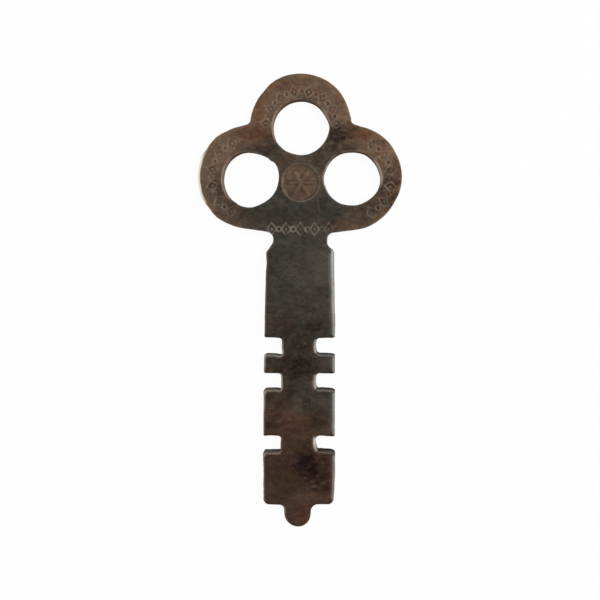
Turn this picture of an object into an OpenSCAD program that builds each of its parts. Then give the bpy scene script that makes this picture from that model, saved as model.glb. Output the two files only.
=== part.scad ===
// Flat furniture key cut from one piece of sheet steel: a trefoil bow with three
// ring holes, a narrow neck, and a flat blade with opposed notches and a nib.
// The key lies on its plain back: +Y runs to the bow, +Z out of the stamped face.

/* [Blank] */
// Length from the top of the bow to the end of the nib
overall_length = 60.3; // [54:0.1:75]
// Thickness of the flat blank
blank_t = 1.6; // [1:0.05:3]

/* [Bow] */
// Radius of the upper lobe
top_lobe_r = 6.56; // [6.2:0.02:7.2]
// Radius of each side lobe
side_lobe_r = 6.96; // [6.5:0.02:7.4]
// Distance from the middle line to the centre of a side lobe
side_lobe_x = 6.51; // [6:0.01:7.2]
// Drop from the centre of the upper lobe to the centres of the side lobes
lobe_drop = 7.22; // [6.8:0.02:8]
// Radius of the hollow where two lobes meet
crotch_r = 0.75; // [0.3:0.05:1.5]

/* [Ring holes] */
// Diameter of each ring hole
hole_d = 7.58; // [6:0.02:8]
// How far the upper hole lies below the centre of its lobe
top_hole_drop = 0.48; // [0:0.02:0.8]
// How far each side hole would lie outside the centre of its lobe on a true blank
side_hole_out = 0.29; // [0:0.01:0.5]
// How far each side hole lies below the centre of its lobe
side_hole_drop = 0.12; // [0:0.01:0.5]
// How far the punch for the pair of side holes sat to the right
side_hole_shift = 0.1; // [-0.2:0.01:0.2]

/* [Neck] */
// Width of the neck between its two reliefs
neck_w = 7.12; // [5:0.01:8]
// Radius of the relief on each side of the neck
relief_r = 1.05; // [0.5:0.01:1.2]
// Drop from the centres of the side lobes to the centres of the reliefs
relief_drop = 8.34; // [8.1:0.01:9.2]
// Slope of the shoulders between the neck and the blade, from level
shoulder_angle = 52.5; // [40:0.5:70]
// Radius where a shoulder turns into the side of the blade
shoulder_r = 0.7; // [0.3:0.05:2]

/* [Blade] */
// Width of the blade below the shoulders
blade_top_w = 9; // [8.6:0.01:11]
// Width of the blade at its lower end
blade_end_w = 9.45; // [8.6:0.01:11]
// Width of the core left between two opposed notches
core_w = 4.63; // [3:0.01:6]
// Height of every notch along the blade
notch_h = 2.29; // [1.2:0.01:3]
// Height of the end block, between the lowest notches and the nib
end_block_h = 6.83; // [4:0.01:9]
// Height of the wide block above the lowest notches
wide_block_h = 6.08; // [3:0.01:8]
// Height of the narrow tooth between the upper notches
narrow_tooth_h = 2.46; // [1.2:0.01:4]
// Radius in the inner corners of the notches
notch_r = 0.4; // [0.1:0.02:0.5]
// Radius on the outer corners of the teeth
tooth_r = 0.2; // [0.05:0.02:0.5]
// Radius on the lower corners of the end block
end_corner_r = 0.65; // [0.2:0.05:1.2]

/* [Nib] */
// Width of the rounded nib
nib_w = 3.5; // [2:0.05:4.5]
// Length of the nib below the end block
nib_length = 2.91; // [2.6:0.01:4]
// Radius where the nib meets the end block
nib_fillet_r = 0.75; // [0.2:0.05:1]

/* [Stamped ornament] */
// Depth of the punched marks
mark_depth = 0.12; // [0.05:0.01:0.3]
// Height of a lozenge mark, across its row
mark_h = 1.3; // [0.8:0.05:1.6]
// Width of a lozenge mark, along its row
mark_w = 0.95; // [0.6:0.05:1.2]
// Width of the line that draws a lozenge
mark_line = 0.22; // [0.1:0.02:0.25]
// Diameter of the dimple between two lozenges
dimple_d = 0.42; // [0.2:0.02:0.6]
// Distance between two neighbouring lozenges along a row
mark_pitch = 1.85; // [1.7:0.05:3]
// Bare steel between the edge of the upper hole and its row of marks
top_row_gap = 0.24; // [0.15:0.02:0.6]
// Bare steel between the edge of a side hole and its row of marks
side_row_gap = 0.75; // [0.15:0.05:0.8]
// Arc covered by the row round the upper hole, in degrees
top_row_arc = 170; // [60:5:180]
// Arc covered by the row round a side hole, in degrees
side_row_arc = 122; // [40:2:130]
// Direction of the middle of a side row, from level, in degrees
side_row_turn = 0; // [-20:1:20]
// Length of the straight row above the neck
neck_row_length = 7.6; // [4:0.1:8.5]
// Height of the straight row above the centres of the reliefs
neck_row_rise = 1.4; // [1.2:0.05:2]

/* [Roundel] */
// Diameter of the sunk roundel in the middle of the bow
roundel_d = 4.75; // [3.5:0.05:5]
// Drop from the centres of the side lobes to the centre of the roundel
roundel_drop = 0.73; // [0:0.01:1.5]
// Depth of the roundel's floor
roundel_depth = 0.16; // [0.06:0.02:0.3]
// Floor left bare between the rosette and the wall of the roundel
rosette_gap = 0.34; // [0.2:0.02:0.8]
// Diameter of the boss in the middle of the rosette
rosette_boss_d = 0.7; // [0.4:0.05:1.2]

/* [Hidden] */
$fn = 96;
steel = [0.31, 0.26, 0.22];
cut_past = 1;
// How far every rounding arc reaches past the line that it meets, so that the two cross
blend = 0.001;
waste_margin = 0.1;
petals = 6;
petal_step = 360 / petals;
top_y = overall_length / 2;
tip_y = -overall_length / 2;
hole_r = hole_d / 2;
top_lobe = [0, top_y - top_lobe_r];
side_lobe = [side_lobe_x, top_lobe.y - lobe_drop];
top_hole = top_lobe - [0, top_hole_drop];
// The two side holes, measured from the middle line of the blank
right_hole = side_lobe + [side_hole_out + side_hole_shift, -side_hole_drop];
left_hole = flip(side_lobe) + [side_hole_shift - side_hole_out, -side_hole_drop];
roundel = [0, side_lobe.y - roundel_drop];
top_row_r = hole_r + top_row_gap + mark_h / 2;
side_row_r = hole_r + side_row_gap + mark_h / 2;
relief = [neck_w / 2 + relief_r, side_lobe.y - relief_drop];
end_y = tip_y + nib_length;
// Lower edge of each notch, from the nib upward
low_notch_y = end_y + end_block_h;
mid_notch_y = low_notch_y + notch_h + wide_block_h;
high_notch_y = mid_notch_y + notch_h + narrow_tooth_h;
notch_ys = [high_notch_y, mid_notch_y, low_notch_y];

function unit(v) = v / norm(v);
function polar(r, a) = r * [cos(a), sin(a)];
function angle_of(v) = atan2(v.y, v.x);
function flip(p) = [-p.x, p.y];

// Centre of the hollow that touches the upper lobe and the side lobe
to_side = side_lobe - top_lobe;
reach_top = top_lobe_r + crotch_r;
reach_side = side_lobe_r + crotch_r;
crotch_turn = acos((reach_top ^ 2 + norm(to_side) ^ 2 - reach_side ^ 2)
    / (2 * reach_top * norm(to_side)));
crotch = top_lobe + polar(reach_top, angle_of(to_side) + crotch_turn);

// The underside of the bow is the line that touches both the side lobe and the relief
to_relief = relief - side_lobe;
touch_turn = acos((side_lobe_r + relief_r) / norm(to_relief));
underside_normal = polar(1, angle_of(to_relief) + touch_turn);
underside_touch = side_lobe + (side_lobe_r - blend) * underside_normal;

// Sharp corner between the underside and the shoulder, before the relief rounds it
to_underside = -underside_normal;
to_shoulder = -polar(1, 90 - shoulder_angle);
neck_corner = relief
    + relief_r * (to_underside + to_shoulder) / (1 + to_underside * to_shoulder);
shoulder_corner = [blade_top_w / 2,
    neck_corner.y - (blade_top_w / 2 - neck_corner.x) * tan(shoulder_angle)];

// Half the width of the tapering blade at height y
function half_blade(y) = blade_top_w / 2
    + (blade_end_w - blade_top_w) / 2
    * (shoulder_corner.y - y) / (shoulder_corner.y - end_y);

// Corners of the right-hand side, each with the radius that rounds it
right_side = concat(
    [[side_lobe.x, side_lobe.y, 0],
     [underside_touch.x, underside_touch.y, 0],
     [neck_corner.x, neck_corner.y, relief_r],
     [shoulder_corner.x, shoulder_corner.y, shoulder_r]],
    [for (y = notch_ys)
        for (c = [[half_blade(y + notch_h), y + notch_h, tooth_r],
                  [core_w / 2, y + notch_h, notch_r],
                  [core_w / 2, y, notch_r],
                  [half_blade(y), y, tooth_r]]) c],
    [[half_blade(end_y), end_y, end_corner_r],
     [nib_w / 2, end_y, nib_fillet_r],
     [nib_w / 2, tip_y, nib_w / 2],
     [0, tip_y, 0]]);

// The corner at place i of the right-hand side, and the directions of its two edges
function corner(i) = [right_side[i].x, right_side[i].y];
function corner_r(i) = right_side[i].z;
function edge_back(i) = unit(corner(i - 1) - corner(i));
function edge_on(i) = unit(corner(i + 1) - corner(i));
function half_angle(i) = acos(edge_back(i) * edge_on(i)) / 2;
function is_hollow(i) = corner_r(i) > 0 && cross(edge_on(i), edge_back(i)) > 0;
function is_round(i) = corner_r(i) > 0 && !is_hollow(i);

// Centre of the arc that rounds corner i, between the points where the arc begins and ends
function arc_points(i) =
    let (reach = corner_r(i) / tan(half_angle(i)))
    [corner(i) + reach * edge_back(i),
     corner(i) + unit(edge_back(i) + edge_on(i)) * corner_r(i) / sin(half_angle(i)),
     corner(i) + reach * edge_on(i)];
inner = [1:len(right_side) - 2];

// The material that a rounded outer corner loses, cut from a little outside the outline
module corner_waste(i) {
    arc = arc_points(i);
    outside = [for (p = [arc[0], corner(i), arc[2]]) p + unit(p - arc[1]) * waste_margin];
    difference() {
        polygon(concat([arc[1]], outside));
        translate(arc[1]) circle(corner_r(i) + blend);
    }
}

module both_sides() {
    children();
    mirror([1, 0, 0]) children();
}

// Middle of the bow, neck, blade and nib. Each hollow corner is filled as far as the
// centre of its arc, and the arc is then cut out.
module blade_outline() {
    right = concat([crotch, side_lobe], [for (i = inner)
        each is_hollow(i) ? arc_points(i) : [corner(i)]]);
    left = [for (i = [len(right) - 1:-1:0]) flip(right[i])];
    difference() {
        polygon(concat([top_lobe], right, left));
        both_sides() for (i = inner) {
            if (is_hollow(i)) translate(arc_points(i)[1]) circle(corner_r(i) + blend);
            if (is_round(i)) corner_waste(i);
        }
    }
}

module lobe(centre, r) {
    translate(centre) cylinder(h = blank_t, r = r);
}

module through_hole(centre, r) {
    translate([centre.x, centre.y, -cut_past]) cylinder(h = blank_t + 2 * cut_past, r = r);
}

module blank() {
    difference() {
        union() {
            linear_extrude(blank_t) blade_outline();
            lobe(top_lobe, top_lobe_r);
            both_sides() lobe(side_lobe, side_lobe_r);
        }
        both_sides() through_hole(crotch, crotch_r + blend);
    }
}

module ring_holes() {
    through_hole(top_hole, hole_r);
    through_hole(right_hole, hole_r);
    through_hole(left_hole, hole_r);
}

module diamond(w, h) {
    polygon([[w / 2, 0], [0, h / 2], [-w / 2, 0], [0, -h / 2]]);
}

// A lozenge drawn by a line, with its long axis across the row
module lozenge_mark() {
    shrink = 1 - 2 * mark_line * norm([mark_w, mark_h]) / (mark_w * mark_h);
    difference() {
        diamond(mark_w, mark_h);
        diamond(mark_w * shrink, mark_h * shrink);
    }
}

// Lozenges and dimples take turns along the arc, with a lozenge at each end
module arc_row(centre, radius, middle, arc) {
    gaps = floor(arc * radius * PI / 180 / mark_pitch);
    step = arc / gaps / 2;
    for (i = [0:2 * gaps])
        translate(centre) rotate(middle - arc / 2 + i * step) translate([radius, 0])
            if (i % 2 == 0) rotate(90) lozenge_mark();
            else circle(dimple_d / 2);
}

module straight_row(centre, length) {
    gaps = floor(length / mark_pitch);
    step = length / gaps / 2;
    for (i = [0:2 * gaps])
        translate(centre + [i * step - length / 2, 0])
            if (i % 2 == 0) lozenge_mark();
            else circle(dimple_d / 2);
}

module punched_marks() {
    translate([0, 0, blank_t - mark_depth]) linear_extrude(mark_depth + cut_past) {
        arc_row(top_hole, top_row_r, 90, top_row_arc);
        arc_row(right_hole, side_row_r, side_row_turn, side_row_arc);
        arc_row(left_hole, side_row_r, 180 - side_row_turn, side_row_arc);
        straight_row([0, relief.y + neck_row_rise], neck_row_length);
    }
}

// Six petals, each the overlap of two circles, round a small boss
module rosette() {
    petal_r = roundel_d / 2 - rosette_gap;
    circle(rosette_boss_d / 2);
    for (i = [0:petals - 1])
        intersection() {
            translate(polar(petal_r, (i - 1) * petal_step)) circle(petal_r);
            translate(polar(petal_r, (i + 1) * petal_step)) circle(petal_r);
        }
}

module sunk_roundel() {
    translate([roundel.x, roundel.y, blank_t - roundel_depth])
        linear_extrude(roundel_depth + cut_past)
            difference() {
                circle(roundel_d / 2);
                rosette();
            }
}

module flat_key() {
    color(steel) difference() {
        blank();
        ring_holes();
        punched_marks();
        sunk_roundel();
    }
}

flat_key();
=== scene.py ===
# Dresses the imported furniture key, which is one stamped blank of sheet steel. The finished
# mesh has the rolled and broken edges of a punched blank, soft punched marks, a sunk roundel
# and a worn brown patina. It lies on a white sheet in soft light, seen from straight above.
import math

import bpy
import numpy as np
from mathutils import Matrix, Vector, geometry, kdtree, noise


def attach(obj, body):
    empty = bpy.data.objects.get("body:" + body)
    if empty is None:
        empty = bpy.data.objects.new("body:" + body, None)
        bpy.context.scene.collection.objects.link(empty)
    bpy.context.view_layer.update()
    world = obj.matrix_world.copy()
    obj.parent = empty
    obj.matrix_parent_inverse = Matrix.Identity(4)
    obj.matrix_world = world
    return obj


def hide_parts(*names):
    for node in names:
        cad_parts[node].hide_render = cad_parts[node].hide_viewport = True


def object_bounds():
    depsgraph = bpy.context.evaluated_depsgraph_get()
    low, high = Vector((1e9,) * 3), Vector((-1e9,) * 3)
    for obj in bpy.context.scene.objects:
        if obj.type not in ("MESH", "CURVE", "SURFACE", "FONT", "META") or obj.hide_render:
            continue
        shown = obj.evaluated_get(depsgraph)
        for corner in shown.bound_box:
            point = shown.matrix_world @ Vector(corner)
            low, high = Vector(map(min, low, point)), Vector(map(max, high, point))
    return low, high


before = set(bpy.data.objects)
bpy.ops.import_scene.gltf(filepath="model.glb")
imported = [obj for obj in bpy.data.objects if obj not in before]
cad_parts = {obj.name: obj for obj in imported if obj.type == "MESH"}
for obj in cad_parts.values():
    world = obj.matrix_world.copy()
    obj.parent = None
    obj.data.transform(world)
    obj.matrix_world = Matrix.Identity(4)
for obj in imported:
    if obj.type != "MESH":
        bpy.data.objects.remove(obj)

cad_low, cad_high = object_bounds()
mm = 0.001

# Sizes in millimetres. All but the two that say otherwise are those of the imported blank.
overall_length = (cad_high.y - cad_low.y) / mm
blank_t = (cad_high.z - cad_low.z) / mm
top_lobe_r = 6.56
side_lobe_r = 6.96
side_lobe_x = 6.51
lobe_drop = 7.22
crotch_r = 0.75
hole_r = 3.79
top_hole_drop = 0.48
side_hole_out = 0.29
side_hole_drop = 0.12
side_hole_shift = 0.1
neck_w = 7.12
relief_r = 1.05
relief_drop = 8.34
shoulder_angle = 52.5
shoulder_r = 0.7
blade_top_w = 9.0
blade_end_w = 9.45
core_w = 4.63
notch_h = 2.29
end_block_h = 6.83
wide_block_h = 6.08
narrow_tooth_h = 2.46
notch_r = 0.4
tooth_r = 0.12  # 0.2 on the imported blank
end_corner_r = 0.8  # 0.65 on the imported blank
nib_w = 3.5
nib_length = 2.91
nib_fillet_r = 0.75

# Punched marks and roundel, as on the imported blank, and their lips, which it doesn't have
mark_depth = 0.12
mark_h = 1.3
mark_w = 0.95
mark_line = 0.22
lip_height = 0.025
dimple_d = 0.42
mark_pitch = 1.85
top_row_gap = 0.24
side_row_gap = 0.75
top_row_arc = 170
side_row_arc = 122
neck_row_length = 7.6
neck_row_rise = 1.4
roundel_r = 4.75 / 2
roundel_drop = 0.73
roundel_depth = 0.16
roundel_lip_height = 0.03
rosette_gap = 0.34
rosette_boss_r = 0.35
rosette_share = 0.92  # the rosette's height, as a share of the roundel's depth
petals = 6

# Finish of the edges: the rim of the stamped face is rolled over, most of all on the
# right-hand side of the blade, and the back has a small break
roll_w = 0.17
roll_w_right = 0.3  # at the end of the blade's right-hand side
roll_w_upper = 0.56  # at the top of that side
roll_w_tooth = 0.3  # on the upper edges of the blade's left-hand teeth
roll_share = 0.42  # how far the roll drops, as a share of its width
roll_rows = (0.02, 0.055, 0.1, 0.15, 0.21, 0.29, 0.38, 0.5, 0.63)  # rows of points on it
face_drop = 0.012  # leaves room below the blank's full thickness for the face's slow waves
break_w = 0.08
hole_taper = 0.2  # the share of the walls' slant and of the break that the holes have
wall_rows = ((0.62, 0.004), (0.4, 0.016), (0.16, 0.03), (0.045, 0.045))  # height share, inset
wall_grit = 0.014
edge_wobble = 0.03
blade_swell = 0.08  # how far each side of the blade stands out about its middle
right_swell = 0.06  # how far the outer edges that face right stand out further

# Distances between the points of the mesh
edge_step = 0.12
fine_step = 0.05
face_step = 0.175
back_step = 0.34
mark_step = 0.068

# Places of the lobes, holes, roundel and marks
top_lobe = np.array([0, overall_length / 2 - top_lobe_r])
side_lobe = np.array([side_lobe_x, top_lobe[1] - lobe_drop])
top_hole = top_lobe - [0, top_hole_drop]
right_hole = side_lobe + [side_hole_out + side_hole_shift, -side_hole_drop]
left_hole = np.array([side_hole_shift - side_hole_out - side_lobe_x, right_hole[1]])
ring_holes = (top_hole, right_hole, left_hole)
roundel = np.array([0, side_lobe[1] - roundel_drop])
relief = np.array([neck_w / 2 + relief_r, side_lobe[1] - relief_drop])
tip_y = -overall_length / 2
end_y = tip_y + nib_length

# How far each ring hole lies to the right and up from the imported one, and how much larger
# its radius is
hole_wear = ((-0.03, -0.09, -0.07), (-0.03, 0, -0.09), (-0.03, -0.16, -0.04))

# Nicks, burrs and uneven places on the edges: x, y, half width, and how far the metal stands
# out, or in where that is negative. A sharp outer corner takes no more than about -0.04,
# because the break at the back would cross itself there.
edge_marks = (
    (-4.1, 18.8, 0.35, 0.08),
    (-8.72, 13.19, 0.3, 0.1),
    (6.75, 12.46, 1.1, 0.09),
    (-4.62, -5.3, 0.2, -0.05),
    (4.6, -16.9, 0.22, -0.05),
    (-4.7, -25.2, 0.25, -0.04),
    (10.9, 21.5, 0.4, -0.03),
    (4.55, -3.0, 1.2, 0.06),
    (3.9, 7.25, 0.45, -0.09),
    (4.55, 6.85, 0.4, 0.1),
    (-4.3, 6.8, 0.5, -0.06),
    (4.6, 28.2, 3.0, 0.06),
    (-3.0, 29.4, 1.8, 0.04),
    (-6.5, 24.7, 0.8, 0.08),
    (-8.3, 23.1, 1.0, -0.07),
    (-11.4, 21.3, 1.3, 0.1),
    (-11.4, 11.4, 2.2, 0.15),
    (6.5, 9.4, 1.5, 0.08),
    (12.5, 12.9, 2.4, -0.09),
    (11.4, 21.3, 1.8, 0.08),
    (2.3, -6.3, 1.0, -0.13),
    (2.3, -11.0, 1.0, -0.1),
    (-2.3, -6.3, 1.0, 0.05),
    (-2.3, -11.0, 1.0, 0.07),
    (-2.3, -19.1, 1.0, 0.12),
    (-3.4, -12.3, 1.0, 0.09),
    (2.85, -12.3, 0.7, 0.215),
    (3.9, -12.3, 0.55, 0.14),
    (-3.5, -20.4, 1.0, 0.1),
    (2.85, -20.4, 0.95, 0.29),
    (4.1, -20.4, 0.6, 0.15),
    (3.2, -7.4, 1.0, 0.09),
    (2.5, -7.1, 0.45, 0.07),
    (-2.6, -7.2, 0.5, -0.15),
    (-2.5, -12.3, 0.3, -0.15),
    (-4.3, -12.25, 0.4, 0.05),
    (-2.55, -20.2, 0.4, 0.08),
    (-4.6, -20.3, 0.3, 0.07),
    (-6.7, 23.8, 0.7, 0.13),
    (6.9, 23.4, 0.7, 0.12),
    (4.6, -26.4, 0.9, -0.07),
    (-4.7, -26.2, 0.8, -0.06),
    (4.7, -23.3, 1.0, 0.05),
    (4.6, 9.2, 0.9, 0.06),
    (8.8, 9.9, 1.2, 0.06),
    (10.4, 15.2, 0.9, -0.05),
    (-1.1, 19.4, 0.9, 0.05),
    (-2.3, -10.0, 0.6, 0.06),
    (-2.7, -4.9, 0.5, 0.07),
    (-1.8, -27.8, 0.6, 0.06),
    (1.8, -27.4, 0.5, 0.06),
    (-4.75, -23.6, 2.6, -0.04),
    (-4.6, -8.9, 0.9, 0.03),
    (-13.3, 16.3, 2.5, 0.19),
    (4.7, -22.0, 1.2, 0.06),
    (-1.75, -28.6, 1.3, 0.1),
    (1.75, -28.6, 1.3, -0.1),
    (3.7, 23.0, 1.3, -0.17),
    (-3.1, 17.2, 1.6, -0.15),
    (-5.7, 19.6, 1.6, 0.16),
    (-4.9, 12.9, 1.3, 0.1),
    (-8.5, 12.9, 1.8, -0.05),
    (10.55, 16.25, 1.2, -0.16),
    (6.9, 19.95, 1.3, 0.08),
    (8.7, 13.05, 1.3, 0.11),
    (3.2, 16.3, 1.0, -0.06),
    (-3.45, 18.1, 0.9, -0.08),
    (3.3, 24.9, 1.0, 0.08),
    (8.6, 19.3, 1.3, -0.03),
    (-6.7, 12.45, 0.9, -0.05),
    (6.7, 24.2, 0.7, 0.08),
    (-5.0, 27.8, 1.0, -0.08),
    (-9.9, 22.4, 0.8, -0.05),
    (-12.85, 19.0, 0.8, 0.15),
    (-12.9, 13.9, 0.9, 0.13),
    (-12.0, 12.1, 0.7, -0.07),
    (-4.5, 4.9, 0.7, -0.08),
    (2.7, -5.0, 0.7, 0.07),
    (-3.5, -18.1, 1.0, -0.07),
    (3.0, -18.1, 0.8, -0.08),
    (2.3, -19.3, 0.7, -0.09),
    (3.2, -27.25, 1.2, -0.06),
)


def unit(v):
    return v / np.linalg.norm(v)


def polar(r, degrees):
    turn = math.radians(degrees)
    return np.array([r * math.cos(turn), r * math.sin(turn)])


def angle_of(v):
    return math.degrees(math.atan2(v[1], v[0]))


def smooth(low, high, value):
    """0 below low, 1 above high and a smooth rise between them; low may be the larger."""
    t = np.clip((value - low) / (high - low), 0, 1)
    return t * t * (3 - 2 * t)


def grain(points, size, seed, octaves=3):
    """Cloudy noise from about -1 to 1 at each point, with blotches of the given size."""
    x, y, z = points.T
    rows = np.column_stack([x / size + seed, y / size, z / size])
    return np.array([noise.fractal(Vector(row), 1.0, 2.0, octaves) for row in rows])


def flat(points):
    """The same points with a height of 0."""
    return np.column_stack([points, np.zeros(len(points))])


# Outline: lines and arcs, each given up to but not including its last point

def line(start, end):
    count = max(1, math.ceil(np.linalg.norm(end - start) / edge_step))
    return [start + (end - start) * i / count for i in range(count)]


def arc(centre, r, start, end):
    step = min(edge_step, max(fine_step, r / 5))
    count = max(3, math.ceil(math.radians(abs(end - start)) * r / step))
    return [centre + polar(r, start + (end - start) * i / count) for i in range(count)]


def rounded(corners):
    """Points of a line through the corners (x, y, r), each rounded by its radius r."""
    places = [np.array(c[:2], float) for c in corners]
    path, here = [], places[0]
    for before, place, after, corner in zip(places, places[1:], places[2:], corners[1:]):
        back, on = unit(before - place), unit(after - place)
        half = math.acos(np.dot(back, on)) / 2
        reach = corner[2] / math.tan(half)
        centre = place + unit(back + on) * corner[2] / math.sin(half)
        start = angle_of(place + reach * back - centre)
        turn = (angle_of(place + reach * on - centre) - start + 180) % 360 - 180
        path += line(here, place + reach * back) + arc(centre, corner[2], start, start + turn)
        here = place + reach * on
    return path


def bow_right():
    """The bow from its top to the place where its underside leaves the side lobe."""
    to_side = side_lobe - top_lobe
    apart = np.linalg.norm(to_side)
    reach_top, reach_side = top_lobe_r + crotch_r, side_lobe_r + crotch_r
    turn = math.acos((reach_top**2 + apart**2 - reach_side**2) / (2 * reach_top * apart))
    crotch = top_lobe + polar(reach_top, angle_of(to_side) + math.degrees(turn))
    leave_top = angle_of(crotch - top_lobe)
    meet_side = angle_of(crotch - side_lobe)
    end = 180 + meet_side
    return (arc(top_lobe, top_lobe_r, 90, leave_top)
            + arc(crotch, crotch_r, 180 + leave_top, end)
            + arc(side_lobe, side_lobe_r, meet_side, angle_of(underside_normal())))


def underside_normal():
    """Direction square to the line that touches both the side lobe and the neck's relief."""
    to_relief = relief - side_lobe
    turn = math.acos((side_lobe_r + relief_r) / np.linalg.norm(to_relief))
    return polar(1, angle_of(to_relief) + math.degrees(turn))


def blade_right():
    """The underside of the bow, neck, blade and nib, down the right-hand side to the tip."""
    normal = underside_normal()
    touch = side_lobe + side_lobe_r * normal
    to_shoulder = -polar(1, 90 - shoulder_angle)
    neck = relief + relief_r * (to_shoulder - normal) / (1 - np.dot(normal, to_shoulder))
    slope = math.tan(math.radians(shoulder_angle))
    shoulder_y = neck[1] - (blade_top_w / 2 - neck[0]) * slope

    def half_blade(y):
        share = (shoulder_y - y) / (shoulder_y - end_y)
        return (blade_top_w + (blade_end_w - blade_top_w) * share) / 2

    low_notch = end_y + end_block_h
    mid_notch = low_notch + notch_h + wide_block_h
    high_notch = mid_notch + notch_h + narrow_tooth_h
    corners = [(*touch, 0), (*neck, relief_r), (blade_top_w / 2, shoulder_y, shoulder_r)]
    for y in (high_notch, mid_notch, low_notch):
        corners += [(half_blade(y + notch_h), y + notch_h, tooth_r),
                    (core_w / 2, y + notch_h, notch_r),
                    (core_w / 2, y, notch_r),
                    (half_blade(y), y, tooth_r)]
    corners += [(half_blade(end_y), end_y, end_corner_r),
                (nib_w / 2, end_y, nib_fillet_r),
                (nib_w / 2, tip_y, nib_w / 2),
                (0, tip_y, 0)]
    return rounded(corners)


def outward(loop):
    """Directions square to a closed loop, pointing out of the metal on its right."""
    along = np.roll(loop, -1, 0) - np.roll(loop, 1, 0)
    normals = np.column_stack([-along[:, 1], along[:, 0]])
    return normals / np.linalg.norm(normals, axis=1)[:, None]


def worn_edge(loop):
    """The loop with the small wobbles, nicks and burrs of a worn stamped edge."""
    shift = edge_wobble * (grain(flat(loop), 2.2, 4.1) * 0.6 + grain(flat(loop), 0.5, 9.3) * 0.3)
    sides = smooth(0.9, 1.0, np.abs(outward(loop)[:, 0])) * (np.abs(loop[:, 0]) > core_w / 2 + 1)
    shift += blade_swell * sides * smooth(5, -3, loop[:, 1]) * smooth(-28, -14, loop[:, 1])
    shift += right_swell * sides * (loop[:, 0] > 0)
    for x, y, width, depth in edge_marks:
        far = np.linalg.norm(loop - [x, y], axis=1)
        shift += depth * np.exp(-((far / width) ** 2))
    return loop + outward(loop) * shift[:, None]


def make_loops():
    """The outline, clockwise, then the three ring holes, anticlockwise."""
    half = bow_right() + blade_right()
    mirrored = [p * [-1, 1] for p in reversed(half[1:])]
    loops = [np.array(half + [np.array([0, tip_y])] + mirrored)]
    for hole, (right, up, growth) in zip(ring_holes, hole_wear):
        loops.append(np.array(arc(hole + [right, up], hole_r + growth, 0, 360)))
    return [worn_edge(loop) for loop in loops]


class Edges:
    """Measures how deep a point lies inside the metal, from fine samples of the loops."""

    def __init__(self, loops, parts=4):
        samples, normals = [], []
        for loop in loops:
            square = outward(loop)
            for i in range(parts):
                share = i / parts
                samples.append(loop * (1 - share) + np.roll(loop, -1, 0) * share)
                normals.append(square * (1 - share) + np.roll(square, -1, 0) * share)
        self.normals = np.concatenate(normals)
        self.tree = kdtree.KDTree(len(self.normals))
        for i, (x, y) in enumerate(np.concatenate(samples)):
            self.tree.insert((x, y, 0), i)
        self.tree.balance()

    def measure(self, points):
        """Depth inside the metal at each point, and the outward direction of its edge."""
        depth, square = np.zeros(len(points)), np.zeros((len(points), 2))
        for i, (x, y) in enumerate(points[:, :2]):
            near, index, far = self.tree.find((x, y, 0))
            square[i] = self.normals[index]
            side = (x - near.x) * square[i][0] + (y - near.y) * square[i][1]
            depth[i] = -math.copysign(far, side)
        return depth, square


# Punched marks: each is its centre, the direction of its row and whether it is a lozenge

def arc_marks(centre, radius, middle, span):
    gaps = math.floor(math.radians(span) * radius / mark_pitch)
    turns = [middle - span / 2 + span / gaps / 2 * i for i in range(2 * gaps + 1)]
    return [(centre + polar(radius, turn), turn + 90, i % 2 == 0)
            for i, turn in enumerate(turns)]


def straight_marks(centre, length):
    gaps = math.floor(length / mark_pitch)
    return [(centre + [length * (i / gaps / 2 - 0.5), 0], 0, i % 2 == 0)
            for i in range(2 * gaps + 1)]


def all_marks():
    top_r = hole_r + top_row_gap + mark_h / 2
    side_r = hole_r + side_row_gap + mark_h / 2
    return (arc_marks(top_hole, top_r, 90, top_row_arc)
            + arc_marks(right_hole, side_r, 0, side_row_arc)
            + arc_marks(left_hole, side_r, 180, side_row_arc)
            + straight_marks(np.array([0, relief[1] + neck_row_rise]), neck_row_length))


def in_row(points, mark):
    """The points as seen from a mark, with x along its row and y across it."""
    centre, turn, _ = mark
    along, across = polar(1, turn), polar(1, turn + 90)
    away = points[:, :2] - centre
    return away @ along, away @ across


def punch(points, mark):
    """How deep the mark cuts and how far its lips stand up, each from 0 to 1."""
    x, y = in_row(points, mark)
    if mark[2]:
        a, b = mark_w / 2, mark_h / 2
        inside = (1 - np.abs(x) / a - np.abs(y) / b) * a * b / math.hypot(a, b)
        off = np.abs(inside - mark_line / 2)
    else:
        off = np.maximum(np.hypot(x, y) - dimple_d / 2 + mark_line / 2, 0)
    cut = smooth(mark_line * 0.9, 0, off)
    lip = np.exp(-(((off - mark_line) / (mark_line * 0.5)) ** 2))
    return cut, lip


def rosette(points):
    """Height of the six petals and their boss over the roundel's floor, from 0 to 1."""
    away = points[:, :2] - roundel
    petal_r = roundel_r - rosette_gap
    step = 360 / petals
    height = smooth(rosette_boss_r * 1.15, rosette_boss_r * 0.4, np.hypot(*away.T))
    for i in range(petals):
        sides = [petal_r - np.linalg.norm(away - polar(petal_r, (i + turn) * step), axis=1)
                 for turn in (-1, 1)]
        height = np.maximum(height, smooth(-0.08, 0.1, np.minimum(*sides)))
    return height


# Meshing of the flat faces

class Scatter:
    """Collects points that keep a distance from each other, the first ones winning."""

    def __init__(self, cell):
        self.cell, self.grid, self.points = cell, {}, []

    def add(self, points, apart):
        for x, y in points:
            i, j = int(x // self.cell), int(y // self.cell)
            near = (q for a in (i - 1, i, i + 1) for b in (j - 1, j, j + 1)
                    for q in self.grid.get((a, b), ()))
            if all((q[0] - x) ** 2 + (q[1] - y) ** 2 >= apart * apart for q in near):
                self.grid.setdefault((i, j), []).append((x, y))
                self.points.append((x, y))


def lattice(low, high, step):
    """Points of an even triangular lattice over a box."""
    rows = np.arange(low[1], high[1], step * math.sqrt(0.75))
    return np.array([(x + step / 2 * (j % 2), y) for j, y in enumerate(rows)
                     for x in np.arange(low[0], high[0], step)])


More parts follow.
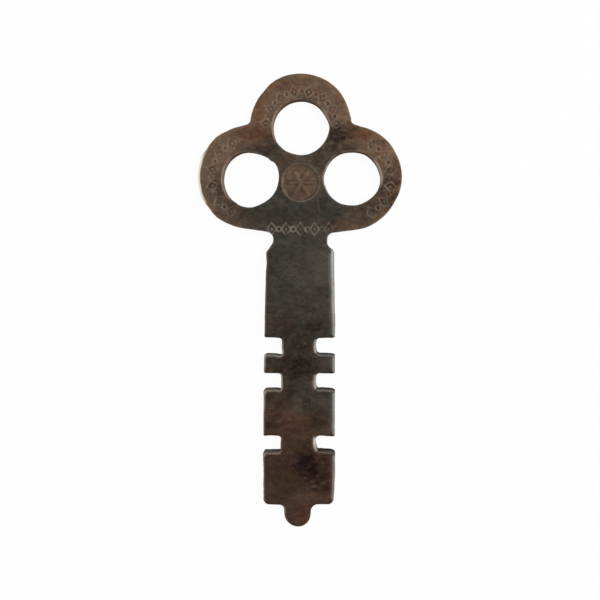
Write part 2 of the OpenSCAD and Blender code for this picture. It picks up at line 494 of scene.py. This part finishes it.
def turned_patch(centre, turn, half):
    """A fine lattice over a box about the centre, turned by an angle."""
    axes = np.array([polar(1, turn), polar(1, turn + 90)])
    return centre + lattice(-half, half, mark_step) @ axes


def fine_points(marks):
    """Fine lattices over the marks, the roundel and the scratches."""
    reach = mark_line * 1.6
    parts = []
    for centre, turn, is_lozenge in marks:
        half = np.array([mark_w, mark_h] if is_lozenge else [dimple_d] * 2) / 2 + reach
        parts.append(turned_patch(centre, turn, half))
    half = roundel_r + reach
    disc = lattice([-half] * 2, [half] * 2, mark_step)
    parts.append(roundel + disc[np.hypot(*disc.T) < half])
    for start, end, _ in scratches:
        start, end = np.array(start), np.array(end)
        half = np.array([np.linalg.norm(end - start) / 2, 0]) + 0.15
        parts.append(turned_patch((start + end) / 2, angle_of(end - start), half))
    return np.concatenate(parts)


def face_points(loops, edges, rows, step, extra=None):
    """The loops' own points first, then rows along the edges, fine patches and a lattice."""
    scatter = Scatter(max(step, edge_step))
    scatter.add(np.concatenate(loops), 0)

    # Where the rows of two edges cross, only points at about their full depth stay
    for depth in rows:
        row = np.concatenate([loop - outward(loop) * depth for loop in loops])
        found = edges.measure(row)[0]
        scatter.add(row[found > depth * 0.93], min(0.045, depth * 0.9))
    margin = rows[-1] if rows else 0
    if extra is not None:
        found = edges.measure(extra)[0]
        scatter.add(extra[found > margin], mark_step * 0.8)
    low = np.min(loops[0], 0) - step
    high = np.max(loops[0], 0) + step
    fill = lattice(low, high, step)
    found = edges.measure(fill)[0]
    scatter.add(fill[found > margin + step * 0.4], step * 0.62)
    return np.array(scatter.points)


def triangles(points, loops, edges):
    """Triangles that fill the metal between the loops, counted anticlockwise."""
    borders, first = [], 0
    for loop in loops:
        ring = range(first, first + len(loop))
        borders += list(zip(ring, [*ring[1:], first]))
        first += len(loop)
    made = geometry.delaunay_2d_cdt([Vector(p) for p in points], borders, [], 0, 1e-6)
    places = np.array([tuple(v) for v in made[0]])
    source = np.array([ids[0] for ids in made[3]])
    faces = np.array(made[2])
    middles = places[faces].mean(1)
    faces = faces[edges.measure(middles)[0] > 0]
    a, b, c = places[faces].transpose(1, 0, 2)
    area = np.cross(b - a, c - a)
    faces[area < 0] = faces[area < 0][:, ::-1]
    return source[faces]


# Heights of the stamped face

def right_side(x, y, square):
    """1 along the blade's right-hand edges, from the corner of the shoulder down, else 0."""
    corner = smooth(0.5, 0.8, square[:, 0]) * smooth(4.05, 4.3, x) * smooth(5.5, 6, y)
    return np.maximum(smooth(0.84, 0.97, square[:, 0]), corner) * smooth(7.5, 7.2, y)


def rim_height(points, depth, square):
    """Height of the stamped face, with its rolled rim and slow waves."""
    place = flat(points)
    x, y = points.T
    right = right_side(x, y, square)
    tooth = smooth(0.7, 0.95, square[:, 1]) * smooth(-2.6, -4.4, x) * smooth(-5, -6, y)
    on_right = roll_w_right + (roll_w_upper - roll_w_right) * smooth(-27, 4, y)
    width = roll_w + (on_right - roll_w) * right + (roll_w_tooth - roll_w) * tooth
    width = width * (1 + 0.25 * grain(place, 3.5, 21.0))
    u = np.clip(1 - depth / width, 0, 1)
    waves = 0.012 * grain(place, 5.0, 3.0) + 0.004 * grain(place, 1.1, 12.0)
    drop = width * roll_share * (1 - np.sqrt(1 - u * u))
    return blank_t - face_drop - drop + waves * smooth(0, 0.5, depth)


def stamped_face(points, depth, square, marks):
    """Heights of the stamped face, and masks of its hollows and of the lips beside them."""
    z = rim_height(points, depth, square)
    cuts, lips = np.zeros(len(points)), np.zeros(len(points))

    # Every mark is punched with its own force and worn in places, those on the neck's
    # right most of all
    for i, mark in enumerate(marks):
        near = np.linalg.norm(points - mark[0], axis=1) < mark_h
        cut, lip = punch(points[near], mark)
        on_neck = mark[0][1] < side_lobe[1] - side_lobe_r + 1 and mark[1] == 0
        worn = smooth(-0.9, 0.35, grain(flat(points[near]), 0.9, 17.0 + i, 2))
        force = (0.8 + 0.3 * math.sin(2.4 * i)) * (0.25 + 0.75 * worn)
        force = force * (1 - 0.6 * on_neck * smooth(0.5, 3.5, mark[0][0]))
        z[near] += force * (lip_height * lip - mark_depth * cut)
        cuts[near] = np.maximum(cuts[near], cut * force * (0.4 if on_neck else 1))
        lips[near] = np.maximum(lips[near], lip * (1 - cut) * force * (1 if on_neck else 0.55))

    far = np.linalg.norm(points - roundel, axis=1)
    sunk = smooth(roundel_r + 0.06, roundel_r - 0.1, far)
    raised = rosette(points) * sunk
    z += roundel_depth * (raised * rosette_share - sunk)
    z += roundel_lip_height * np.exp(-(((far - roundel_r - 0.16) / 0.11) ** 2))
    cuts = np.maximum(cuts, (sunk - raised) * 0.45)

    # The roundel's lip is lighter all round, and a painted highlight makes it brightest at its
    # lower left, where its wall faces the light
    low_left = 0.5 + 0.5 * (points - roundel) @ unit(np.array([-0.5, -1])) / np.maximum(far, 0.1)
    ring = np.exp(-(((far - roundel_r - 0.12) / 0.12) ** 2))
    lips = np.maximum(lips, ring * (0.15 + 0.45 * low_left))
    return z, cuts, lips


def make_key():
    """One closed mesh of the whole key, with its finish masks stored on the vertices."""
    loops = make_loops()
    edges = Edges(loops)
    marks = all_marks()
    rim = np.concatenate(loops)
    rim_square = np.concatenate([outward(loop) for loop in loops])
    tapers = [1] + [hole_taper] * (len(loops) - 1)
    rim_taper = np.concatenate([np.full(len(loop), taper) for loop, taper in zip(loops, tapers)])

    front = face_points(loops, edges, roll_rows, face_step, fine_points(marks))
    front_faces = triangles(front, loops, edges)
    depth, square = edges.measure(front)
    depth[:len(rim)] = 0
    z, cuts, lips = stamped_face(front, depth, square, marks)

    walls = []
    for share, inset in wall_rows:
        grit = wall_grit * (grain(flat(rim) + [0, 0, share * 7], 0.5, 51.0) - 0.4)
        inward = rim_taper * (inset - np.minimum(grit, inset) * (share < 0.5))
        place = rim - rim_square * inward[:, None]
        walls.append(np.column_stack([place, np.full(len(rim), share * blank_t)]))
    back_loops = [loop - outward(loop) * break_w * taper for loop, taper in zip(loops, tapers)]
    back_edges = Edges(back_loops)
    back = face_points(back_loops, back_edges, (), back_step)
    back_faces = triangles(back, back_loops, back_edges)

    verts = np.concatenate([np.column_stack([front, z]), *walls, flat(back)])
    faces = list(map(tuple, front_faces))
    starts = [0] + [len(front) + i * len(rim) for i in range(len(wall_rows) + 1)]
    for upper, lower in zip(starts, starts[1:]):
        first = 0
        for loop in loops:
            ids = np.arange(first, first + len(loop))
            after = np.roll(ids, -1)
            faces += zip(upper + ids, upper + after, lower + after, lower + ids)
            first += len(loop)
    faces += map(tuple, back_faces[:, ::-1] + starts[-1])

    mesh = bpy.data.meshes.new("key_blank")
    mesh.from_pydata((verts * mm).tolist(), [], [tuple(map(int, f)) for f in faces])
    mesh.validate()
    mesh.polygons.foreach_set("use_smooth", [True] * len(mesh.polygons))
    rest = np.zeros(len(verts) - len(front))
    masks = finish_masks(verts, edges)
    masks |= {"hollow": np.append(cuts, rest), "lip": np.append(lips, rest)}
    for name, values in masks.items():
        mesh.attributes.new(name, "FLOAT", "POINT").data.foreach_set("value", values)
    key = bpy.data.objects.new("key_blank", mesh)
    bpy.context.scene.collection.objects.link(key)
    return key


# Patches of the patina on the stamped face: x, y, half width, half height, strength
red_patches = (
    (-6.3, 22.1, 2.1, 0.9, 0.7),
    (-5.7, 25.0, 0.9, 2.5, 0.45),
    (-1.5, 28.6, 2.6, 0.8, 0.35),
    (2.4, 27.6, 1.2, 0.6, 0.4),
    (8.0, 22.2, 1.8, 0.7, 0.7),
    (10.6, 19.9, 0.6, 0.6, 0.5),
    (11.1, 18.2, 0.9, 0.7, 0.3),
    (12.9, 17.2, 0.6, 1.4, 0.25),
    (-1.6, 18.2, 1.6, 0.9, 0.22),
    (5.8, 9.9, 2.4, 0.7, 0.28),
    (3.5, 7.9, 0.6, 1.0, 0.14),
    (3.6, -23.0, 1.6, 2.8, 0.18),
    (-2.9, -15.0, 1.8, 0.5, 0.28),
    (-0.8, -15.8, 2.2, 0.8, 0.3),
    (-0.4, -17.4, 2.0, 1.0, 0.2),
    (2.6, -26.2, 2.4, 0.9, 0.18),
    (1.0, -28.3, 1.2, 1.4, 0.3),
)
dark_patches = (
    (4.9, 21.9, 1.6, 1.3, 0.95),
    (4.5, 20.4, 1.1, 1.0, 0.65),
    (8.4, 22.2, 1.8, 0.9, 0.12),
    (-5.8, 21.6, 2.6, 1.4, 0.28),
    (-4.8, 20.1, 2.2, 0.8, 0.55),
    (-4.8, 25.8, 1.3, 2.8, 0.16),
    (4.5, 19.8, 1.2, 1.2, 0.4),
    (6.3, 20.3, 1.3, 0.7, 0.6),
    (10.4, 20.7, 1.2, 0.8, 0.25),
    (10.7, 14.2, 1.2, 1.6, 0.62),
    (9.3, 12.4, 1.7, 0.9, 0.6),
    (6.9, 12.1, 1.5, 0.6, 0.4),
    (12.2, 15.9, 1.5, 0.9, 0.7),
    (11.3, 13.6, 1.7, 1.7, 0.62),
    (12.7, 17.7, 0.9, 1.6, 0.45),
    (1.4, 26.6, 1.7, 0.6, 0.25),
    (6.8, 23.0, 0.8, 0.8, 0.5),
    (4.5, 24.4, 1.4, 1.0, 0.17),
    (2.3, 19.6, 1.0, 0.7, 0.27),
    (0.6, 10.4, 1.2, 0.7, 0.38),
    (-1.6, 13.5, 0.9, 0.8, 0.38),
    (-10.7, 14.7, 0.9, 2.6, 0.45),
    (-9.1, 12.5, 1.1, 0.6, 0.5),
    (-2.7, 14.9, 0.5, 1.9, 0.4),
    (-5.8, 11.3, 2.0, 1.1, 0.4),
    (-2.3, 18.6, 1.2, 1.0, 0.12),
    (2.6, 18.2, 1.2, 0.9, 0.3),
    (0.3, 18.9, 3.0, 0.5, 0.15),
    (7.9, 11.4, 1.8, 1.2, 0.35),
    (-12.0, 14.2, 1.0, 2.2, 0.2),
    (-3.4, 5.0, 1.2, 1.6, 0.25),
    (3.0, 18.6, 1.2, 0.9, 0.3),
    (-3.2, 18.0, 0.9, 0.9, 0.2),
    (12.3, 15.9, 1.0, 1.7, 0.55),
    (10.4, 13.4, 1.3, 1.0, 0.4),
    (0.0, 11.6, 7.5, 2.6, 0.2),
    (1.7, -3.4, 1.4, 1.1, 0.75),
    (0.6, -5.8, 1.7, 1.8, 0.65),
    (-1.2, -3.2, 2.2, 1.8, 0.35),
    (0.0, -4.0, 5.0, 2.4, 0.34),
    (-0.2, -8.8, 2.6, 1.6, 0.8),
    (0.0, -8.2, 5.2, 1.4, 0.3),
    (0.8, -0.4, 2.2, 1.6, 0.16),
    (2.6, -15.6, 1.1, 1.7, 0.3),
    (-1.3, -7.0, 1.0, 0.9, 0.3),
    (0.0, -12.6, 4.8, 1.4, 0.28),
    (-3.9, -16.7, 0.9, 0.35, 0.6),
    (1.2, -22.0, 1.7, 1.9, 1.1),
    (1.6, -19.6, 0.5, 1.4, 0.35),
    (2.4, -23.9, 1.4, 1.3, 0.75),
    (3.6, -23.0, 1.9, 3.0, 0.6),
    (3.6, -24.8, 0.8, 0.7, 0.75),
    (-0.6, -21.2, 1.2, 0.7, 0.35),
)
plum_patches = (
    (0.8, 0.5, 1.2, 0.6, 0.4),
    (2.3, 1.3, 0.9, 0.5, 0.55),
    (-0.3, -0.4, 0.9, 0.6, 0.35),
    (-0.9, -1.8, 1.0, 0.9, 0.4),
    (-2.2, -3.2, 1.5, 0.9, 0.5),
    (-1.5, -8.4, 1.4, 1.2, 0.3),
    (-2.0, -21.6, 2.0, 1.4, 0.3),
    (-3.0, -24.0, 1.5, 1.2, 0.2),
)
light_patches = (
    (2.1, -24.8, 0.34, 0.12, 0.4),
    (1.9, -24.2, 0.3, 0.1, 0.3),
    (2.7, -24.9, 0.2, 0.1, 0.2),
    (3.3, -24.3, 0.34, 0.12, 0.32),
    (3.7, -24.0, 0.15, 0.12, 0.25),
    (0.9, -23.7, 0.14, 0.14, 0.35),
    (3.2, -21.7, 0.22, 0.12, 0.3),
    (-0.2, -13.4, 0.5, 0.3, 0.12),
    (2.0, 5.4, 2.2, 1.2, 0.1),
    (3.7, -8.4, 1.0, 0.9, 0.08),
    (0.7, -5.7, 0.16, 0.22, 0.25),
    (3.3, 3.9, 1.2, 1.7, 0.16),
    (2.0, -11.1, 0.3, 0.8, 0.6),
    (2.0, -6.3, 0.3, 0.7, 0.2),
    (2.0, -18.7, 0.3, 0.9, 0.35),
    (3.6, -13.6, 1.1, 0.6, 0.1),
    (3.6, -17.4, 1.1, 0.6, 0.12),
    (1.8, -26.1, 2.0, 0.8, 0.08),
    (-0.2, -14.8, 1.2, 0.8, 0.1),
    (-12.8, 18.6, 0.8, 0.9, 0.2),
    (-12.8, 13.6, 0.8, 0.9, 0.2),
)

# Scratches: start, end, strength
scratches = (
    ((2.3, 13.4), (2.6, 11.6), 0.3),
    ((3.15, 5.5), (3.8, 5.85), 0.4),
    ((-0.9, 5.3), (-0.1, 5.4), 0.12),
    ((-3.4, -2.2), (-2.2, -2.15), 0.14),
)

# Corners of the blade on its left, worn bright and given a painted highlight
worn_and_lit_corners = ((-4.72, -7.5), (-4.74, -12.3), (-4.78, -20.6))

# Places on the rims of the ring holes, worn and given a painted highlight: x, y, half width, half
# height, strength
worn_and_lit_rims = (
    (10.5, 17.1, 1.2, 1.7, 1.0),
    (3.4, 24.5, 0.8, 1.1, 0.55),
)


def ovals(points, places, fade, ragged=0):
    """Soft ovals at the given places, which fade out between two distances from them."""
    mask = np.zeros(len(points))
    for x, y, wide, high, strength in places:
        far = np.hypot((points[:, 0] - x) / wide, (points[:, 1] - y) / high)
        mask = np.maximum(mask, strength * smooth(*fade, far + ragged))
    return mask


def patches(points, places, seed, size=0.9):
    """Soft blotches at the given places, with borders ragged at the given size."""
    return ovals(points, places, (1.6, 0.4), 0.5 * grain(flat(points), size, seed))


def hole_distance(points):
    """How far each point is from the middle of the nearest ring hole."""
    return np.min([np.linalg.norm(points - hole, axis=1) for hole in ring_holes], 0)


def scratched(points):
    """How bright the scratches are at each point, from 0 to 1."""
    mask = np.zeros(len(points))
    for start, end, strength in scratches:
        start, end = np.array(start), np.array(end)
        along = end - start
        share = np.clip((points - start) @ along / (along @ along), 0, 1)
        far = np.linalg.norm(points - start - share[:, None] * along, axis=1)
        mask = np.maximum(mask, strength * np.exp(-((far / 0.07) ** 2)))
    return mask


def bare_metal(verts, depth, square):
    """How bare the edges are worn, with painted highlight, from 0 to 1: most where they face right
    on the blade, where light falls.
    """
    points = verts[:, :2]
    x, y, z = verts.T

    # Which way the nearest edge faces, and where the vertex is
    right = smooth(0.6, 0.97, square[:, 0])
    side = right_side(x, y, square) * smooth(end_y, end_y + 0.8, y)
    left = smooth(0.5, 0.95, -square[:, 0])
    up = smooth(0.6, 0.95, square[:, 1])
    blade = smooth(8.5, 6.5, y)
    holes = smooth(6.0, 4.2, hole_distance(points))
    broken = smooth(-0.7, 0.5, grain(verts, 0.7, 61.0))
    top = smooth(-6, 6, y)
    core = smooth(3, 2.6, x)
    low_core = core * smooth(-18, -18.5, y)
    narrow = smooth(0.24, 0.06, depth)

    # The blade: a broad band of wear and painted highlight on the right, where light falls, and
    # thin lines on the left and on upper edges
    reach = 0.33 + 0.13 * top - 0.05 * core + 0.06 * low_core
    wide = smooth(reach + 0.12, reach - 0.1, depth)
    wide = wide * (1 - 0.36 * (1 - core) * smooth(0.2, 0.04, depth))
    level = 0.7 - 0.12 * smooth(0, -3, y) * smooth(-12, -10, y) + 0.18 * core + 0.2 * low_core
    level = level + 0.1 * top
    soft = smooth(0.95, 0.5, depth) * (0.09 + 0.17 * top) * (1 - core)
    on_right = side * np.maximum(wide * level, soft)
    low_left = np.minimum(smooth(-5.2, -6.2, y), 0.25 + 0.75 * smooth(-15.5, -14, y))
    on_left = left * smooth(0.3, 0.12, depth) * (0.2 + 0.8 * low_left * (0.6 + 0.4 * broken))
    on_top = up * np.exp(-(((depth - 0.12) / 0.13) ** 2)) * (0.62 - 0.24 * smooth(-1, 1, x))
    on_blade = on_right * (0.8 + 0.2 * broken) + on_top + on_left
    for corner in worn_and_lit_corners:
        far = np.linalg.norm(points - corner, axis=1)
        on_blade = np.maximum(on_blade, smooth(0.5, 0.15, far))

    # The bow: thin broken lines all round, and the rims of its holes, worn and with painted
    # highlight where they face right
    on_hole = 0.42 * right * (0.6 + 0.4 * broken) * narrow * holes
    on_rims = ovals(points, worn_and_lit_rims, (1.4, 0.6)) * smooth(0.42, 0.12, depth)
    on_bow = (0.16 + 0.25 * left * smooth(-9, -12, x)) * narrow * broken
    on_bow = np.maximum(on_bow + on_hole, on_rims)
    bare = np.minimum(blade * on_blade + (1 - blade) * on_bow, 1)

    # The walls: painted light on those that face right, and on those that face up on the blade's
    # left
    on_upper = 0.35 * up * blade * smooth(-1, -2, x)
    wall = np.maximum(right * np.maximum(blade, holes) * 0.5, on_upper)
    wall = np.maximum(wall, on_rims)
    face = smooth(blank_t * 0.62, blank_t * 0.8, z)
    return bare * face + wall * (1 - face)


def finish_masks(verts, edges):
    """Where the metal has each finish that steel() shows, at each vertex, from 0 to 1.

    The walls and the back have the wall finish, and worn edges are bare, with a painted highlight
    that makes them brightest where they face right and up.
    The bow is tan, with ochre near its rim, and the blade turns brown towards its end. Two edges
    carry a painted near-white glint.
    The red, dark, plum and light places are those of the lists above; the dark mask also carries a
    painted shade line along the edges that face the blade's end.
    """
    points = verts[:, :2]
    x, y, z = verts.T
    depth, square = edges.measure(points)
    front = smooth(blank_t * 0.8, blank_t * 0.86, z)
    drift = 1.4 * grain(verts, 4.0, 71.0)

    # Tan: the outer bow, less so at its underside, the roundel, and weakly above the roundel
    far = np.hypot(x + 0.8, y - 14.5)
    tan = smooth(5.2, 10.0, far + drift) * (0.5 + 0.5 * smooth(10.5, 16, y))
    tan = tan * smooth(8.6, 10.2, y)
    tan = np.maximum(tan, 0.35 * smooth(6.5, 3.0, np.hypot(x, y - 18.6) + drift))
    on_roundel = smooth(roundel_r + 0.3, roundel_r - 0.2, np.hypot(*(points - roundel).T))
    tan = np.maximum(tan, on_roundel)
    hole = smooth(hole_r + 1.2, hole_r + 0.9, hole_distance(points))

    # Brown: the lower blade and both of its sides, more on the left
    end = 0.3 * smooth(1.0, -6.0, y + drift)
    end = end + 0.7 * smooth(-11.0, -18.5, y + 1.5 * drift + 0.5 * x)
    side = smooth(1.0, 0.3, depth) * smooth(0.7, 0.95, np.abs(square[:, 0])) * smooth(8, 5, y)
    side = side * (0.6 - 0.4 * smooth(0, 1, x))

    # Painted glint: a near-white highlight painted on the outer edge of the left lobe, and on the
    # core's edge in the lowest right notch
    painted_glint = smooth(-0.75, -0.9, square[:, 0]) * smooth(0.33, 0.2, depth) * smooth(-12.2, -12.7, x)
    low_core = smooth(0.7, 0.9, square[:, 0]) * smooth(2.6, 2.5, x) * smooth(0.38, 0.24, depth)
    painted_glint = np.maximum(painted_glint, 0.4 * low_core * smooth(0.9, 0.1, np.abs(y + 18.8)))

    # Painted shade: a dark line along the blade's edges that face its end, away from the light
    painted_shade_line = smooth(0.6, 0.95, -square[:, 1]) * smooth(0.4, 0.1, depth) * smooth(9, 7, y)
    return {
        "bare": bare_metal(verts, depth, square),
        "wall": 1 - front,
        "tan": tan,
        "ochre": smooth(1.1, 0.2, depth) * smooth(9, 12, y) * smooth(6.2, 7.4, far) * (1 - hole),
        "brown": np.maximum(end, side),
        "painted_glint": painted_glint * smooth(blank_t * 0.62, blank_t * 0.85, z),
        "red": patches(points, red_patches, 81.0) * front,
        "dark": np.maximum(patches(points, dark_patches, 83.0), painted_shade_line * 0.25) * front,
        "plum": patches(points, plum_patches, 85.0) * front,
        "light": np.maximum(patches(points, light_patches, 87.0, 0.25), scratched(points)) * front,
    }


# Materials

def srgb(red, green, blue):
    """A colour read from a screen, from 0 to 255, as the linear colour that a shader takes."""
    shares = (red / 255, green / 255, blue / 255)
    linear = [s / 12.92 if s <= 0.04045 else ((s + 0.055) / 1.055) ** 2.4 for s in shares]
    return (*linear, 1)


class Shader:
    """Short names for adding and joining the nodes of one material or world."""

    def __init__(self, owner):
        owner.use_nodes = True
        self.tree = owner.node_tree
        self.tree.nodes.clear()

    def add(self, kind, inputs=(), **settings):
        node = self.tree.nodes.new("ShaderNode" + kind)
        for name, value in settings.items():
            setattr(node, name, value)
        for name, value in dict(inputs).items():
            if isinstance(value, bpy.types.NodeSocket):
                self.tree.links.new(value, node.inputs[name])
            else:
                node.inputs[name].default_value = value
        return node

    def mask(self, name, strength=1.0):
        """A finish mask of the mesh, scaled by the given strength."""
        value = self.add("Attribute", attribute_name=name).outputs["Fac"]
        return self.maths("MULTIPLY", value, strength)

    def mix(self, share, first, second, blend="MIX"):
        inputs = {0: share, 6: first, 7: second}
        return self.add("Mix", inputs, data_type="RGBA", blend_type=blend).outputs[2]

    def maths(self, operation, first, second=0.0, clamp=False):
        inputs = {0: first, 1: second}
        return self.add("Math", inputs, operation=operation, use_clamp=clamp).outputs[0]

    def spread(self, value, low, high, to_low=0.0, to_high=1.0):
        """Value carried from the range low to high over to another range, with smooth ends."""
        inputs = {"Value": value, 1: low, 2: high, 3: to_low, 4: to_high}
        return self.add("MapRange", inputs, interpolation_type="SMOOTHSTEP").outputs[0]

    def cloud(self, place, size, detail=4.0, roughness=0.6, distortion=0.0):
        """Noise from 0 to 1 whose blotches are of the given size in millimetres."""
        inputs = {"Vector": place, "Scale": 1 / size, "Detail": detail,
                  "Roughness": roughness, "Distortion": distortion}
        return self.add("TexNoise", inputs).outputs["Fac"]

    def millimetres(self):
        """Place on the object, in millimetres."""
        place = self.add("TexCoord").outputs["Object"]
        return self.add("VectorMath", {0: place, "Scale": 1 / mm}, operation="SCALE").outputs[0]

    def streaks(self, place, turn, low):
        """Fine streaks in one direction, from 0 to 1, that come and go over the surface."""
        inputs = {"Vector": place, "Rotation": (0, 0, math.radians(turn)), "Scale": (2.2, 0.12, 1)}
        turned = self.add("Mapping", inputs, vector_type="TEXTURE").outputs[0]
        lines = self.spread(self.cloud(turned, 1.0, 2.0, 0.4), low, low + 0.1)
        return self.maths("MULTIPLY", lines, self.spread(self.cloud(place, 2.3, 2.0), 0.45, 0.65))

    def seen(self, low, high):
        """High for rays from the camera, off metal or through glass, and low for all others."""
        path = self.add("LightPath").outputs
        share = self.maths("MAXIMUM", path["Is Camera Ray"], path["Is Glossy Ray"])
        share = self.maths("MAXIMUM", share, path["Is Transmission Ray"])
        return self.add("MapRange", {0: share, 3: low, 4: high}).outputs[0]


def steel():
    """Patinated sheet steel: brown on the bow, grey on the blade, bare on the worn rims, with
    painted highlights on edges and painted shade on the walls.
    """
    material = bpy.data.materials.new("patinated_steel")
    shader = Shader(material)
    place = shader.millimetres()
    drawn = shader.add("VectorMath", {0: place, 1: (0.7, 1, 1)}, operation="MULTIPLY").outputs[0]
    blotches = shader.cloud(drawn, 2.0, 4.0, 0.6, 0.3)
    mottle = shader.cloud(drawn, 0.45, 4.0, 0.6)
    speckle = shader.cloud(place, 0.17, 2.0, 0.6)

    # The patina's broad tones and stains
    colour = shader.mix(shader.mask("brown"), srgb(61, 58, 52), srgb(64, 48, 38))
    colour = shader.mix(shader.mask("tan"), colour, srgb(99, 80, 65))
    colour = shader.mix(shader.mask("ochre", 0.4), colour, srgb(118, 93, 66))
    reddish = shader.maths("MULTIPLY", shader.mask("red"), shader.spread(mottle, 0.3, 0.6, 0.6, 1))
    colour = shader.mix(reddish, colour, srgb(104, 66, 48))
    colour = shader.mix(shader.mask("plum", 0.8), colour, srgb(74, 52, 56))
    # The dark mask also holds a painted shade line along edges that face the blade's end
    dark = shader.maths("MULTIPLY", shader.mask("dark"), shader.spread(mottle, 0.7, 0.4, 0.7, 1))
    colour = shader.mix(dark, colour, srgb(32, 22, 21))

    # Mottling, streaks, light spots and punched marks
    level = shader.spread(blotches, 0.3, 0.7, 0.82, 1.18)
    level = shader.maths("MULTIPLY", level, shader.spread(mottle, 0.3, 0.7, 0.76, 1.24))
    level = shader.maths("MULTIPLY", level, shader.spread(speckle, 0.3, 0.7, 0.9, 1.1))
    grey = shader.add("CombineColor", {0: level, 1: level, 2: level}).outputs[0]
    colour = shader.mix(1.0, colour, grey, "MULTIPLY")
    fine = shader.maths("MAXIMUM", shader.streaks(place, 7, 0.6), shader.streaks(place, -35, 0.64))
    colour = shader.mix(shader.maths("MULTIPLY", fine, 0.06), colour, srgb(140, 128, 116))
    colour = shader.mix(shader.mask("light", 0.8), colour, srgb(128, 112, 99))
    colour = shader.mix(shader.mask("hollow", 0.38), colour, srgb(52, 39, 31))
    lip = shader.maths("MULTIPLY", shader.mask("lip", 0.7), shader.spread(mottle, 0.3, 0.6, 0.5, 1))
    colour = shader.mix(lip, colour, srgb(150, 134, 118))

    # Walls, with painted shade that darkens them towards the back, and worn edges with painted
    # highlight
    # Painted shade: the walls' colour darkens towards the back, where they meet the sheet
    height = shader.add("SeparateXYZ", {0: place}).outputs[2]
    wall = shader.mix(shader.spread(height, 0.3, 1.3), srgb(46, 38, 33), srgb(84, 74, 65))
    wall = shader.mix(shader.mask("tan", 0.7), wall, srgb(94, 72, 58))
    colour = shader.mix(shader.mask("wall"), colour, wall)
    # Worn edges with a painted highlight, brightest on edges that face right and up
    bare = shader.maths("MULTIPLY", shader.mask("bare"), shader.spread(mottle, 0.25, 0.6, 0.8, 1))
    worn = shader.mix(shader.mask("brown"), srgb(158, 155, 149), srgb(146, 136, 127))
    worn = shader.mix(shader.mask("tan"), worn, srgb(150, 133, 119))
    colour = shader.mix(bare, colour, worn)
    # Painted glint: a near-white highlight painted on two edges
    colour = shader.mix(shader.mask("painted_glint", 0.95), colour, srgb(232, 224, 214))

    # Gloss, less metallic on the walls and red stains, and the relief of pits and streaks
    rough = shader.spread(mottle, 0.3, 0.7, 0.46, 0.58)
    metal = shader.maths("SUBTRACT", 0.75, shader.mask("wall", 0.75))
    metal = shader.maths("SUBTRACT", metal, shader.mask("red", 0.3), True)
    relief = shader.maths("ADD", mottle, shader.maths("MULTIPLY", speckle, 0.35))
    relief = shader.maths("SUBTRACT", relief, shader.maths("MULTIPLY", fine, 0.15))
    bump = shader.add("Bump", {"Height": relief, "Strength": 0.5, "Distance": 0.012 * mm})
    surface = shader.add("BsdfPrincipled", {
        "Base Color": colour, "Metallic": metal, "Roughness": rough,
        "Specular IOR Level": 0, "Normal": bump.outputs[0]})
    shader.add("OutputMaterial", {"Surface": surface.outputs[0]})
    return material


def white_paper():
    """White sheet that stays white round the key and keeps a part of its soft shadow."""
    material = bpy.data.materials.new("white_sheet")
    shader = Shader(material)
    paper = shader.add("BsdfDiffuse", {"Color": (0.95, 0.95, 0.95, 1)})
    glow = shader.add("Emission", {"Color": (1, 1, 1, 1), "Strength": 1.0})
    inputs = {0: shader.seen(0.0, 0.95), 1: paper.outputs[0], 2: glow.outputs[0]}
    shader.add("OutputMaterial", {"Surface": shader.add("MixShader", inputs).outputs[0]})
    return material


# Stage

def make_camera():
    """Looks straight down from near by, up and to the right of the key's middle."""
    height, right, up, roll = 80.0, 5.5, 7.6, 0.367
    fit_x, fit_y = 0.05, 0.014  # where the key's middle lies in the frame
    data = bpy.data.cameras.new("camera")
    data.sensor_width, data.lens = 36, 35.37
    data.clip_start, data.clip_end = 0.005, 2
    shift = data.lens / data.sensor_width / (height - blank_t)
    turn = math.radians(roll)
    data.shift_x = -shift * (right * math.cos(turn) + up * math.sin(turn))
    data.shift_y = -shift * (up * math.cos(turn) - right * math.sin(turn))
    camera = bpy.data.objects.new("camera", data)
    camera.location = ((fit_x + right) * mm, (up + fit_y) * mm, height * mm)
    camera.rotation_euler = (0, 0, turn)
    bpy.context.scene.collection.objects.link(camera)
    bpy.context.scene.camera = camera


def make_world():
    """A white room for the camera and for reflections, and a dimmer one for soft light."""
    world = bpy.data.worlds.new("room")
    bpy.context.scene.world = world
    shader = Shader(world)
    room = shader.add("Background", {"Color": (1, 1, 1, 1), "Strength": shader.seen(0.55, 1.0)})
    shader.add("OutputWorld", {"Surface": room.outputs[0]})


def make_lamp(name, place, size, power):
    """A soft square lamp, given in millimetres and watts, that points at the key."""
    data = bpy.data.lights.new(name, "AREA")
    data.shape, data.size, data.energy = "SQUARE", size * mm, power
    lamp = bpy.data.objects.new(name, data)
    lamp.location = Vector(place) * mm
    lamp.rotation_euler = (-lamp.location).to_track_quat("-Z", "Y").to_euler()
    bpy.context.scene.collection.objects.link(lamp)


def make_sheet():
    """The white sheet, just under the key."""
    half, top = 600 * mm, -0.02 * mm
    mesh = bpy.data.meshes.new("white_sheet")
    corners = [(x * half, y * half, top) for x, y in ((-1, -1), (1, -1), (1, 1), (-1, 1))]
    mesh.from_pydata(corners, [], [(0, 1, 2, 3)])
    mesh.materials.append(white_paper())
    sheet = bpy.data.objects.new("white_sheet", mesh)
    bpy.context.scene.collection.objects.link(sheet)


make_camera()
make_world()
make_lamp("lamp_right", (390, 105, 340), 450, 1.94)
make_sheet()
key = make_key()
key.data.materials.append(steel())
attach(key, "root")
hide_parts("flat_key")

bpy.context.scene.view_settings.view_transform = "Standard"
